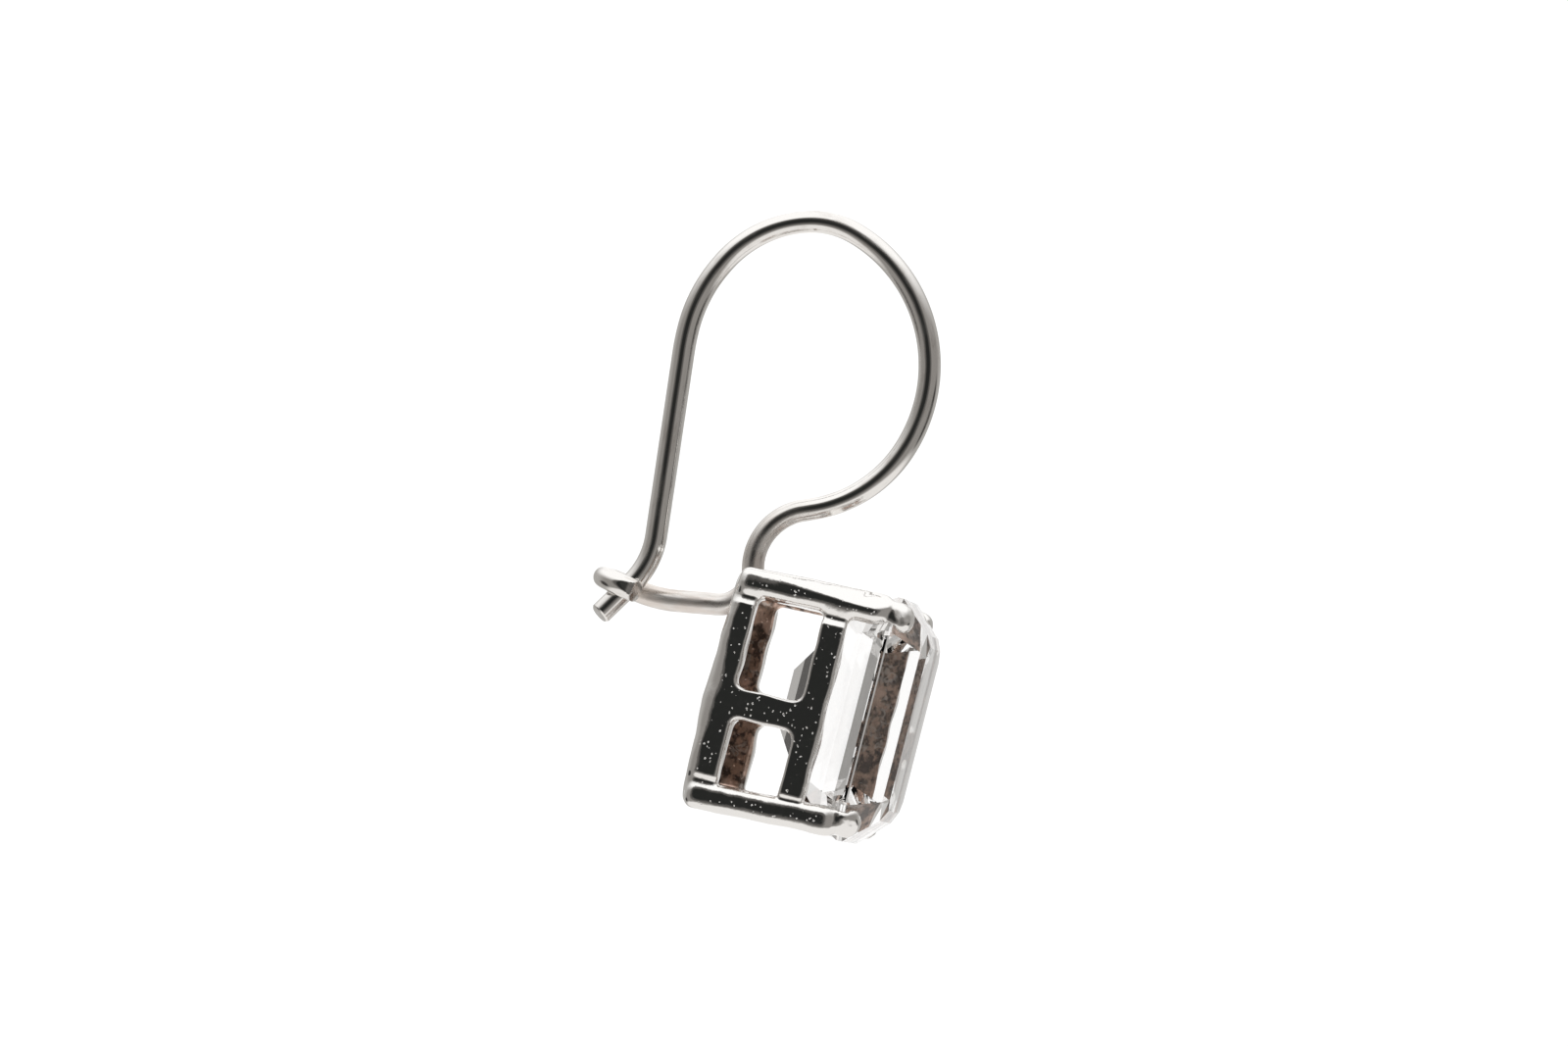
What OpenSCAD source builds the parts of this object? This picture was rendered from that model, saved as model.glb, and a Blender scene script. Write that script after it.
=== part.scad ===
// A silver earring: one bent ear wire, a four-prong basket setting and an octagonal step-cut stone.
// +Z is up, -Y is the front, where the stone's table looks, and X runs across the stone.
// The origin is on the wire's centreline at the crown of its arch, where it hangs in the ear.

/* [Ear wire] */
// Diameter of the round wire
wire_d = 0.82; // [0.7:0.01:1.0]
// Sideways swing of the catch arm, away from the middle plane, in degrees
arm_swing = 11.5; // [9:0.5:14]
// Bend radius of the hook at the end of the arm
hook_radius = 0.92; // [0.88:0.01:1.1]
// Width of the chamfer round the cut end of the free tail
tail_chamfer = 0.08; // [0.02:0.01:0.2]
// Length of the flat that is filed on the outside of the hook's end
nip_length = 0.6; // [0.2:0.05:0.6]
// Thickness of wire left under that flat, at the very end
nip_left = 0.56; // [0.3:0.02:0.7]

/* [Basket] */
// Forward lean of the stone's table below the horizontal, in degrees
tilt = 14.5; // [0:0.5:30]
// Height of the basket's middle below the crown of the wire
basket_drop = 18.15; // [15:0.05:22]
// Reach of the basket's middle in front of the crown of the wire
basket_reach = 2.4; // [1:0.05:4]
// Length of the basket over its rails
basket_l = 9.0; // [6:0.1:14]
// Width of the basket over its rails
basket_w = 7.1; // [5:0.1:12]
// Depth from the girdle's middle plane to the basket's back face
basket_depth = 5.9; // [4:0.05:8]
// Thickness of the rails, measured across the basket's wall
rail_t = 1.0; // [0.7:0.05:1.4]
// Height of the rails, measured along the basket's depth
rail_h = 1.0; // [0.7:0.05:1.4]
// Depth from the girdle's middle plane to the front face of the upper rail
upper_rail_depth = 1.45; // [1.2:0.05:3.5]
// Radius of the rails at the basket's four corners, on their centreline
rail_corner = 0.7; // [0.55:0.05:1.5]
// How far the base rail sits lower along the basket's length than the prong tips
base_shift = 0.22; // [0:0.01:0.3]
// Rounding along the edges of rails and bars
edge_r = 0.2; // [0.1:0.05:0.45]
// Width of the bar in the middle of each long side
bar_w = 1.2; // [0.6:0.05:1.5]
// Drop of that bar below the middle of the long side
bar_offset = 0.6; // [0:0.05:1]
// How much wider the base rail is on each long side, from that bar down to the lower prong
sill_step = 0.34; // [0.05:0.01:0.6]
// Diameter of the four prongs
prong_d = 1.18; // [0.8:0.02:1.4]
// Diameter of the rounded prong tips
tip_d = 1.16; // [0.8:0.02:1.6]
// Height of the tips' centres in front of the girdle's middle plane
tip_rise = 0.25; // [0:0.05:0.6]

/* [Stone] */
// Length of the stone at its girdle
stone_l = 9.0; // [6:0.1:12]
// Width of the stone at its girdle
stone_w = 7.0; // [4:0.1:10]
// How far each corner is cut back along both sides
corner_cut = 1.3; // [0.6:0.1:2.5]
// Thickness of the girdle
girdle_t = 0.2; // [0.1:0.05:0.4]
// Gap kept between the stone and the metal, and between the wire and its seat
seat_gap = 0.02; // [0.01:0.01:0.05]

/* [Tables] */
// Bends from the crown back to the free tail, columns run, roll, turn and radius
tail_bends = [ // [mm, degrees, degrees, mm]
    [0,    0,   49.5, 4.3],
    [0.15, 0,   26.5, 5.45],
    [0,    0,   5.5,  9.5],
    [6.7,  180, 38,   3.0]
];
// Straight end of the free tail
tail_run = 1.7; // [0.5:0.1:3]
// Bends from the crown forward and round to the foot, with the same columns
loop_bends = [ // [mm, degrees, degrees, mm]
    [0,   0,   31.5, 3.15],
    [0,   0,   92.5, 5.6],
    [0,   0,   47.5, 4.8],
    [0.4, 180, 81.5, 2.15]
];
// Bends from the foot along the catch arm to its hook, with the same columns
arm_bends = [ // [mm, degrees, degrees, mm]
    [0,   180 + arm_swing, 95.5, 1.25],
    [1.5, 0,               18,   5.5],
    [0,   274,             192,  hook_radius]
];
// Straight end of the hook, up to the tip of its nipped wedge
hook_run = 0.6; // [0.5:0.05:2]
// Steps of the crown from the girdle to the table, columns rise and inset
crown_steps = [ // [mm, mm]
    [1.1, 1.05],
    [0.2, 0.42]
];
// Steps of the pavilion from the girdle to the keel, with the same columns
pavilion_steps = [ // [mm, mm]
    [0.35, 0.2],
    [0.5,  0.42],
    [1.15, 1.13],
    [1.3,  1.68]
];

/* [Hidden] */
// Columns of the bend tables
RUN = 0;
ROLL = 1;
TURN = 2;
RADIUS = 3;
// Columns of the step tables
RISE = 0;
INSET = 1;
// Smoothness of round sections and of turned shapes
$fn = 48;
// Length and thickness of the bands that join stretches of wire
band_l = 0.04;
band_t = 0.002;
// Side of the blocks that trim faces, larger than the whole earring
trim = 40;
// Rail centreline, half its width and half its length
rail_x = (basket_w - rail_t) / 2;
rail_y = (basket_l - rail_t) / 2;
// Levels of the rails' middles below the girdle's middle plane
base_level = -basket_depth + rail_h / 2;
upper_level = -upper_rail_depth - rail_h / 2;
// Prong centres, with the prongs standing this far proud of the rails' outside
prong_proud = 0.03;
prong_x = (basket_w - prong_d) / 2 + prong_proud;
prong_y = (basket_l - prong_d) / 2 + prong_proud;
// How far the tips lean in over the stone from the prongs' centres
tip_lean = 0.2;
// How far the prongs' rounded feet stay inside the base rail's back face, and their centres' level
foot_inset = 0.1;
foot_level = -basket_depth + foot_inset + prong_d / 2;
// Height at which the prongs begin to lean in, and how much slimmer they are from there
elbow_level = -0.7;
prong_step = 0.02;

// How far the leaning basket has shifted at a level between its base and the prongs' elbows
function lean_at(level) = -base_shift * (elbow_level - level) / (elbow_level - foot_level);

function sum_column(rows, column, count) =
    count == 0 ? 0 : rows[count - 1][column] + sum_column(rows, column, count - 1);

// Wire

// A straight piece of wire along +Y, starting at the origin.
module straight_wire(run, d) {
    rotate([-90, 0, 0]) cylinder(h = run, d = d);
}

// A hair-thin band round the origin, which makes two stretches of wire that meet there one solid.
module band(d) {
    translate([0, -band_l / 2, 0]) straight_wire(band_l, d + 2 * band_t);
}

// Follows a bend table along +Y, bending towards -X, and places the children at its end.
module follow_bends(rows, d, i = 0) {
    if (i < len(rows)) {
        row = rows[i];
        if (row[RUN] > 0) {
            straight_wire(row[RUN], d);
            translate([0, row[RUN], 0]) band(d);
        }
        translate([0, row[RUN], 0]) rotate([0, row[ROLL], 0]) translate([-row[RADIUS], 0, 0]) {
            rotate_extrude(angle = row[TURN]) translate([row[RADIUS], 0]) circle(d = d);
            rotate([0, 0, row[TURN]]) translate([row[RADIUS], 0, 0]) {
                band(d);
                follow_bends(rows, d, i + 1) children();
            }
        }
    } else {
        children();
    }
}

// The straight end of the tail, with a small chamfer round its cut face.
module tail_end(d) {
    rotate([-90, 0, 0]) rotate_extrude() polygon([
        [0, 0],
        [d / 2, 0],
        [d / 2, tail_run - tail_chamfer],
        [d / 2 - tail_chamfer, tail_run],
        [0, tail_run]
    ]);
}

// The straight end of the hook, with a slanting flat filed on its outside.
module nipped_end(d) {
    difference() {
        straight_wire(hook_run, d);
        translate([nip_left - d / 2, hook_run, 0]) rotate([0, 0, atan2(d - nip_left, nip_length)])
            translate([0, -trim / 2, -trim / 2]) cube([trim, trim, trim]);
    }
}

// The front half of the wire, from the crown down to the foot and along the arm to the hook.
module loop_and_arm(d) {
    rotate([180, -90, 0]) follow_bends(loop_bends, d) follow_bends(arm_bends, d) nipped_end(d);
}

// The back half of the wire, from the crown down to the free tail.
module tail(d) {
    rotate([0, -90, 0]) follow_bends(tail_bends, d) tail_end(d);
}

module ear_wire() {
    color("silver") {
        loop_and_arm(wire_d);
        tail(wire_d);
        band(wire_d);
    }
}

// Setting and stone, drawn with X across, Y along and Z out of the table, then leaned forward

// Moves the basket's own frame, centred on the girdle's middle plane, to its place.
module in_basket() {
    translate([0, -basket_reach, -basket_drop]) rotate([90 + tilt, 0, 0]) children();
}

// A rectangle with rounded corners, centred on the origin.
module rounded_section(w, h, r) {
    square([w - 2 * r, h], center = true);
    square([w, h - 2 * r], center = true);
    for (x = [-1, 1], y = [-1, 1]) translate([x * (w / 2 - r), y * (h / 2 - r)]) circle(r);
}

module rail_section() {
    rounded_section(rail_t, rail_h, edge_r);
}

// One closed rail, with straight sides and quarter bends at the corners.
module rail(level) {
    side = rail_y - rail_corner;
    end = rail_x - rail_corner;
    translate([0, lean_at(level), level]) {
        for (s = [-1, 1]) {
            translate([s * rail_x, 0, 0]) rotate([90, 0, 0])
                linear_extrude(2 * side, center = true) rail_section();
            translate([0, s * rail_y, 0]) rotate([90, 0, 90])
                linear_extrude(2 * end, center = true) rail_section();
        }
        for (quarter = [0:3]) {
            x = (quarter == 0 || quarter == 3) ? end : -end;
            y = quarter < 2 ? side : -side;
            translate([x, y, 0]) rotate([0, 0, 90 * quarter])
                rotate_extrude(angle = 90) translate([rail_corner, 0]) rail_section();
        }
    }
}

// The bar that ties the two rails together in the middle of a long side.
module side_bar() {
    translate([0, -bar_offset, base_level])
        linear_extrude(upper_level - base_level) rounded_section(rail_t, bar_w, edge_r);
}

// The wider stretch of the base rail in a long side, from the bar down to the lower prong.
module sill() {
    low = -prong_y + lean_at(foot_level);
    translate([0, low, base_level + sill_step]) rotate([90, 0, 180])
        linear_extrude(-bar_offset - low) rail_section();
}

// A round bar from one point up to another, with both ends rounded.
module strut(from, to, d) {
    path = to - from;
    run = norm(path);
    translate(from) rotate([0, acos(path.z / run), atan2(path.y, path.x)])
        rotate_extrude() intersection() {
            union() {
                circle(d = d);
                translate([0, run]) circle(d = d);
                translate([-d / 2, 0]) square([d, run]);
            }
            translate([0, -d]) square([d, run + 2 * d]);
        }
}

// One prong, from its rounded foot at the base rail to its rounded tip over the stone's corner.
module prong(x, y) {
    foot = [x * prong_x, y * prong_y + lean_at(foot_level), foot_level];
    elbow = [x * prong_x, y * prong_y, elbow_level];
    tip = [x * (prong_x - tip_lean), y * (prong_y - tip_lean), tip_rise];
    strut(foot, elbow, prong_d);
    strut(elbow, tip, prong_d - 2 * prong_step);
    translate(tip) sphere(d = tip_d);
}

module setting() {
    color("silver") difference() {
        in_basket() difference() {
            union() {
                rail(base_level);
                rail(upper_level);
                for (s = [-1, 1]) translate([s * rail_x, 0, 0]) {
                    side_bar();
                    sill();
                }
                for (x = [-1, 1], y = [-1, 1]) prong(x, y);
            }
            cut_stone(seat_gap);
        }
        loop_and_arm(wire_d + 2 * seat_gap);
    }
}

// Trims everything outside the flat that runs through two levels of one facet.
module facet_trim(z1, reach1, z2, reach2, gap) {
    lean = atan2(reach1 - reach2, z2 - z1);
    translate([reach1, 0, z1]) rotate([0, -lean, 0])
        translate([gap, -trim / 2, -trim / 2]) cube([trim, trim, trim]);
}

// Trims one step of facets round all eight sides, between two levels with their insets.
module step_trim(z1, inset1, z2, inset2, gap) {
    corner = (stone_l + stone_w) / 2 - corner_cut;
    for (s = [0, 180]) rotate([0, 0, s]) {
        facet_trim(z1, stone_w / 2 - inset1, z2, stone_w / 2 - inset2, gap);
        rotate([0, 0, 90]) facet_trim(z1, stone_l / 2 - inset1, z2, stone_l / 2 - inset2, gap);
    }
    for (x = [0, 1], y = [0, 1]) mirror([x, 0, 0]) mirror([0, y, 0]) rotate([0, 0, 45])
        facet_trim(z1, corner / sqrt(2) - inset1, z2, corner / sqrt(2) - inset2, gap);
}

// The stone, or with a gap the same form grown by it on every side.
module cut_stone(gap = 0) {
    crown_h = sum_column(crown_steps, RISE, len(crown_steps));
    pavilion_h = sum_column(pavilion_steps, RISE, len(pavilion_steps));
    half_girdle = girdle_t / 2;
    top = half_girdle + crown_h + gap;
    bottom = half_girdle + pavilion_h + gap;
    difference() {
        translate([-stone_w / 2 - gap, -stone_l / 2 - gap, -bottom])
            cube([stone_w + 2 * gap, stone_l + 2 * gap, top + bottom]);
        step_trim(-half_girdle, 0, half_girdle, 0, gap);
        for (i = [0:len(crown_steps) - 1])
            step_trim(
                half_girdle + sum_column(crown_steps, RISE, i),
                sum_column(crown_steps, INSET, i),
                half_girdle + sum_column(crown_steps, RISE, i + 1),
                sum_column(crown_steps, INSET, i + 1),
                gap);
        for (i = [0:len(pavilion_steps) - 1])
            step_trim(
                -half_girdle - sum_column(pavilion_steps, RISE, i + 1),
                sum_column(pavilion_steps, INSET, i + 1),
                -half_girdle - sum_column(pavilion_steps, RISE, i),
                sum_column(pavilion_steps, INSET, i),
                gap);
    }
}

module stone() {
    color("white") in_basket() cut_stone();
}

ear_wire();
setting();
stone();
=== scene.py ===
"""Looks of a silver earring: a drawn ear wire, a cast basket and a step-cut stone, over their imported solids.

The shapes' lengths are in millimetres, the main ones as in the solids, and the finishes' are in metres. Each
mesh is written in metres, in the frame of the solids: +Z up, -Y the side that the stone's table looks to.
"""

import logging
import math
from dataclasses import dataclass
from enum import Enum
from typing import ClassVar

import bpy
import numpy as np
from mathutils import Matrix, Vector


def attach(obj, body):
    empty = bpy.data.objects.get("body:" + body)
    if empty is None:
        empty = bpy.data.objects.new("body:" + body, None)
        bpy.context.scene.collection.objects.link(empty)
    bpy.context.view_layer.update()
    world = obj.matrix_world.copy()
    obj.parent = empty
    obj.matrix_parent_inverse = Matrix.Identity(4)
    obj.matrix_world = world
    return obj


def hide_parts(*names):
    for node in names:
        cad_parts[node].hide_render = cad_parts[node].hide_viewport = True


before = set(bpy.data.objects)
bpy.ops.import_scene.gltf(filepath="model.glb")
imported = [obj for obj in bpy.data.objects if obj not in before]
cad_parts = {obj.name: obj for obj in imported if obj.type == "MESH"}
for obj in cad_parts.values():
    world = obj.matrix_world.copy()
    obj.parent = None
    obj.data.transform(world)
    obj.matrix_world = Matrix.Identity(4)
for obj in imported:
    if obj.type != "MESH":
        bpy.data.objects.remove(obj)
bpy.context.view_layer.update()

MM = 0.001
DEGREES = 180 / math.pi
BODY = "root"
log = logging.getLogger("earring")

Array = np.ndarray
Piece = bpy.types.Object
Colour = tuple[float, float, float, float]
Spot = tuple[float, float, float]
Bends = tuple[tuple[float, float, float, float], ...]
Pair = tuple[float, float]
Steps = tuple[Pair, ...]


class Mark(Enum):
    """What a piece's points are marked with for its material: each is an attribute's name."""

    ALONG = "along"
    HEATED = "heated"
    RECESS = "recess"
    FLAT = "flat"


class End(Enum):
    """The two ends of the basket, by the sign of their place along it."""

    LOWER = -1
    UPPER = 1


# Shader maths


@dataclass(frozen=True)
class Value:
    """A node's output socket, on which Python's operators add Math nodes."""

    tree: "Tree"
    socket: bpy.types.NodeSocket

    def math(self, operation: str, *others: "Value | float") -> "Value":
        """Adds a Math node that works on this and the others."""
        return self.tree.math(operation, self, *others)

    def __add__(self, other: "Value | float") -> "Value":
        """Adds."""
        return self.math("ADD", other)

    __radd__ = __add__

    def __sub__(self, other: "Value | float") -> "Value":
        """Subtracts."""
        return self.math("SUBTRACT", other)

    def __rsub__(self, other: float) -> "Value":
        """Subtracts this from a number."""
        return self.tree.math("SUBTRACT", other, self)

    def __mul__(self, other: "Value | float") -> "Value":
        """Multiplies."""
        return self.math("MULTIPLY", other)

    __rmul__ = __mul__

    def __abs__(self) -> "Value":
        """The size without its sign."""
        return self.math("ABSOLUTE")

    def ramp(self, low: float, high: float, start: float = 0.0, end: float = 1.0) -> "Value":
        """Rises smoothly from start to end as this goes from low to high, and stays there."""
        settings = {"interpolation_type": "SMOOTHSTEP"}
        return self.tree.node("ShaderNodeMapRange", settings, {0: self, 1: low, 2: high, 3: start, 4: end})


class Tree:
    """A material's or a world's node tree, emptied and filled again from Python expressions."""

    def __init__(self, owner: bpy.types.ID) -> None:
        """Empties the owner's node tree.

        Args:
            owner: A material or a world.
        """
        owner.use_nodes = True
        self.tree = owner.node_tree
        self.tree.nodes.clear()

    def node(
        self,
        kind: str,
        settings: dict[str, object] | None = None,
        inputs: dict[str | int, object] | None = None,
        out: int | str = 0,
    ) -> Value:
        """Adds a node of any type, with its settings made before its sockets are filled.

        Args:
            kind: The node's type.
            settings: Its properties by name.
            inputs: The numbers, colours or Values of its sockets, by name or place.
            out: The output that the result stands for.

        Returns:
            The chosen output.
        """
        made = self.tree.nodes.new(kind)
        for name, setting in (settings or {}).items():
            setattr(made, name, setting)
        for key, value in (inputs or {}).items():
            if isinstance(value, Value):
                self.tree.links.new(value.socket, made.inputs[key])
            else:
                made.inputs[key].default_value = value
        return Value(self, made.outputs[out] if made.outputs else None)

    def math(self, operation: str, *values: Value | float) -> Value:
        """Adds a Math node that works on the values."""
        return self.node("ShaderNodeMath", {"operation": operation}, dict(enumerate(values)))

    def blend(self, factor: Value | float, a: Value | Colour, b: Value | Colour) -> Value:
        """Goes from colour a to colour b as the factor goes from 0 to 1."""
        return self.node("ShaderNodeMix", {"data_type": "RGBA"}, {0: factor, 6: a, 7: b}, 2)

    def vector(self, operation: str, a: Value | tuple, b: Value | tuple, out: int = 0) -> Value:
        """Adds a Vector Math node; out 1 is its number, as for a dot product."""
        return self.node("ShaderNodeVectorMath", {"operation": operation}, {0: a, 1: b}, out)

    def coordinates(self) -> Value:
        """Object coordinates."""
        return self.node("ShaderNodeTexCoord", out="Object")

    def mark(self, mark: Mark, out: str = "Fac") -> Value:
        """What a piece's points are marked with, as a number, or as a vector with out at Vector."""
        return self.node("ShaderNodeAttribute", {"attribute_name": mark.value}, out=out)

    def noise(
        self, place: Value, size: float, detail: float = 2.0, roughness: float = 0.5, out: str = "Fac"
    ) -> Value:
        """Soft noise from 0 to 1 with features about as large as size, in metres."""
        inputs = {"Vector": place, "Scale": 1 / size, "Detail": detail, "Roughness": roughness}
        return self.node("ShaderNodeTexNoise", {"noise_dimensions": "3D"}, inputs, out)

    def cells(self, place: Value, size: float) -> Value:
        """The distance to the nearest of scattered points, in shares of their spacing."""
        inputs = {"Vector": place, "Scale": 1 / size}
        return self.node("ShaderNodeTexVoronoi", {"feature": "F1"}, inputs)

    def warped(self, place: Value, size: float, reach: float) -> Value:
        """Moves each place by up to about the reach, with noise of the given size, in metres."""
        shift = self.vector("SUBTRACT", self.noise(place, size, 1.0, out="Color"), (0.5, 0.5, 0.5))
        return self.vector("ADD", place, self.vector("MULTIPLY", shift, (reach * 3,) * 3))

    def bump(self, height: Value, depth: float, normal: Value | None = None) -> Value:
        """Turns a height from 0 to 1 into relief of the given depth, in metres, on coarser relief."""
        relief = {"Strength": 1.0, "Distance": depth, "Height": height}
        return self.node("ShaderNodeBump", None, relief | ({"Normal": normal} if normal else {}))


@dataclass(frozen=True)
class Finish:
    """A finish: a named material with one Principled shader, whose sockets each kind fills."""

    name: ClassVar[str]

    def sockets(self, tree: Tree) -> dict[str, object]:
        """The shader's numbers, colours and Values by socket."""
        raise NotImplementedError

    def material(self) -> bpy.types.Material:
        """Builds the material.

        Returns:
            The material.
        """
        material = bpy.data.materials.new(self.name)
        tree = Tree(material)
        surface = tree.node("ShaderNodeBsdfPrincipled", None, self.sockets(tree))
        tree.node("ShaderNodeOutputMaterial", None, {"Surface": surface})
        return material


@dataclass(frozen=True)
class DrawnSilver(Finish):
    """Silver wire as it leaves the draw plate: bright, with fine lines along its length."""

    name: ClassVar[str] = "drawn_silver"
    colour: Colour = (0.86, 0.84, 0.815, 1.0)
    dull: Colour = (0.66, 0.62, 0.585, 1.0)
    heated: Colour = (0.8, 0.735, 0.685, 1.0)
    line_size: float = 0.05 * MM
    line_depth: float = 0.0011 * MM
    wave_size: float = 0.45 * MM
    wave_depth: float = 0.003 * MM
    film_size: float = 0.3 * MM
    rub_size: float = 0.35 * MM

    def sockets(self, tree: Tree) -> dict[str, object]:
        """Lays fine lines on long shallow waves, and a dull film and rubbed streaks along the wire.

        Where it was heated, it is warmer in colour and less bright.

        Args:
            tree: The material's tree.

        Returns:
            The shader's inputs by socket.
        """
        along = tree.mark(Mark.ALONG, "Vector")

        def streaks(size: float, squeeze: float, detail: float, roughness: float = 0.5) -> Value:
            """Noise of the given size that the wire's length, pressed together by squeeze, draws out."""
            return tree.noise(tree.vector("MULTIPLY", along, (1.0, 1.0, squeeze)), size, detail, roughness)

        lines = streaks(self.line_size, 0.035, 3.0, 0.6)
        waves = streaks(self.wave_size, 0.3, 2.0)
        film = streaks(self.film_size, 0.25, 4.0, 0.65)
        rubbed = streaks(self.rub_size, 0.12, 3.0, 0.6)
        relief = tree.bump(lines, self.line_depth, tree.bump(waves, self.wave_depth))
        heat = tree.mark(Mark.HEATED)
        colour = tree.blend(film.ramp(0.5, 0.8), self.colour, self.dull)
        colour = tree.blend(heat * waves.ramp(0.4, 0.6, 0.25, 0.9), colour, self.heated)
        rough = film.ramp(0.35, 0.75, 0.07, 0.17) + rubbed.ramp(0.5, 0.7, 0.0, 0.16)
        rough = rough + heat * film.ramp(0.3, 0.7, 0.16, 0.3)
        return {"Base Color": colour, "Metallic": 1.0, "Roughness": rough, "Normal": relief}


@dataclass(frozen=True)
class CastSilver(Finish):
    """Cast silver: bright and finely pitted outside, brown and rough in the basket's recess."""

    name: ClassVar[str] = "cast_silver"
    colour: Colour = (0.88, 0.865, 0.845, 1.0)
    stain: Colour = (0.5, 0.36, 0.285, 1.0)
    stain_dark: Colour = (0.12, 0.092, 0.08, 1.0)
    stain_pink: Colour = (0.74, 0.55, 0.46, 1.0)
    bloom: Colour = (0.62, 0.57, 0.53, 1.0)
    pit_size: float = 0.18 * MM
    pit_depth: float = 0.016 * MM
    skin_size: float = 0.2 * MM
    skin_depth: float = 0.006 * MM
    mottle_size: float = 0.34 * MM
    patch_size: float = 0.7 * MM
    ring_size: float = 0.5 * MM

    def sockets(self, tree: Tree) -> dict[str, object]:
        """Scatters pits in groups on the flat faces, and lays a brown stain in the basket's recess.

        The stain has dark mottling, pinkish patches and pale rings.

        Args:
            tree: The material's tree.

        Returns:
            The shader's inputs by socket.
        """
        place = tree.coordinates()
        recess, flat = tree.mark(Mark.RECESS), tree.mark(Mark.FLAT)
        chosen = tree.noise(place, 0.22 * MM, 2.0).ramp(0.46, 0.54) * flat
        pits = tree.cells(tree.warped(place, 0.12 * MM, 0.05 * MM), self.pit_size).ramp(0.06, 0.23)
        pits = pits * chosen + (1 - chosen)
        skin = tree.noise(place, self.skin_size, 3.0, 0.55)
        relief = tree.bump(pits, self.pit_depth, tree.bump(skin, self.skin_depth))
        mottle = tree.noise(tree.warped(place, 0.3 * MM, 0.06 * MM), self.mottle_size, 4.0, 0.6)
        patches = tree.noise(place, self.patch_size, 3.0, 0.5)
        cells = tree.cells(tree.warped(place, 0.35 * MM, 0.2 * MM), self.ring_size)
        rings = abs(cells - 0.34).ramp(0.03, 0.13)
        stain = tree.blend(mottle.ramp(0.42, 0.58), self.stain_dark, self.stain)
        stain = tree.blend(patches.ramp(0.5, 0.64), stain, self.stain_pink)
        stain = tree.blend((1 - rings) * patches.ramp(0.55, 0.42) * 0.6, stain, self.bloom)
        stained = (recess * mottle.ramp(0.2, 0.5, 0.7, 1.0)).ramp(0.15, 0.75)
        colour = tree.blend(stained, self.colour, stain)
        rough = skin.ramp(0.3, 0.75, 0.055, 0.13) + stained * 0.22
        return {"Base Color": colour, "Metallic": 1.0, "Roughness": rough, "Normal": relief}


@dataclass(frozen=True)
class ClearStone(Finish):
    """A colourless faceted stone."""

    name: ClassVar[str] = "clear_stone"
    colour: Colour = (0.985, 0.98, 0.975, 1.0)
    ior: float = 1.74
    haze_size: float = 1.1 * MM

    def sockets(self, tree: Tree) -> dict[str, object]:
        """Lets light through, with the faintest haze of polish on the facets."""
        haze = tree.noise(tree.coordinates(), self.haze_size, 3.0).ramp(0.4, 0.8, 0.0, 0.02)
        return {"Base Color": self.colour, "Roughness": haze, "IOR": self.ior, "Transmission Weight": 1.0}


@dataclass(frozen=True)
class PaleFloor(Finish):
    """A plain pale floor."""

    name: ClassVar[str] = "pale_floor"
    colour: Colour = (0.93, 0.93, 0.925, 1.0)
    glow: float = 0.35

    def sockets(self, tree: Tree) -> dict[str, object]:
        """Makes it matt, with a little light of its own so that it stays white."""
        light = {"Emission Color": self.colour, "Emission Strength": self.glow}
        return {"Base Color": self.colour, "Roughness": 0.9} | light


# Meshes from arrays


def make_piece(name: str, points: Array, faces: list[Array], material: bpy.types.Material) -> Piece:
    """Makes a closed, smoothly shaded piece that rides on the earring's body.

    Args:
        name: The piece's name.
        points: Its points, one row each, in millimetres.
        faces: Arrays of corner numbers, one array for each count of corners.
        material: Its material.

    Returns:
        The new object.
    """
    mesh = bpy.data.meshes.new(name)
    mesh.from_pydata((points * MM).tolist(), [], [row for group in faces for row in group.tolist()])
    mesh.validate()
    mesh.shade_smooth()
    mesh.materials.append(material)
    piece = bpy.data.objects.new(name, mesh)
    bpy.context.scene.collection.objects.link(piece)
    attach(piece, BODY)
    return piece


def mark_points(piece: Piece, mark: Mark, values: Array) -> None:
    """Marks each of a piece's points with one number, or with one row of three."""
    kind, key = ("FLOAT", "value") if values.ndim == 1 else ("FLOAT_VECTOR", "vector")
    piece.data.attributes.new(mark.value, kind, "POINT").data.foreach_set(key, values.astype("f4").ravel())


def in_order(rings: Array) -> Array:
    """A tube's points ring by ring, then the middles of its first and its last ring."""
    return np.concatenate([rings.reshape(-1, 3), rings[:1].mean(axis=1), rings[-1:].mean(axis=1)])


def tube_faces(count: int, sides: int) -> list[Array]:
    """The faces of a closed tube: four-sided between its rings, with a fan round each end's middle.

    Args:
        count: How many rings it has.
        sides: How many points a ring has.

    Returns:
        The corner numbers of the four-sided and of the three-sided faces.
    """
    number = np.arange(count * sides).reshape(count, sides)
    after = np.roll(number, -1, axis=1)
    quads = np.stack([number[:-1], number[1:], after[1:], after[:-1]], axis=-1).reshape(-1, 4)
    first, last = np.full(sides, count * sides), np.full(sides, count * sides + 1)
    fans = np.concatenate([
        np.stack([first, number[0], after[0]], axis=-1),
        np.stack([last, after[-1], number[-1]], axis=-1)])
    return [quads, fans]


def ramped(values: Array, start: float, run: float) -> Array:
    """Rises evenly from 0 to 1 as the values go from start to start + run, and stays there."""
    return np.clip((values - start) / run, 0.0, 1.0)


def turned(axis: str, degrees: float) -> Array:
    """The matrix of a turn about one axis."""
    return np.array(Matrix.Rotation(math.radians(degrees), 3, axis))


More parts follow.
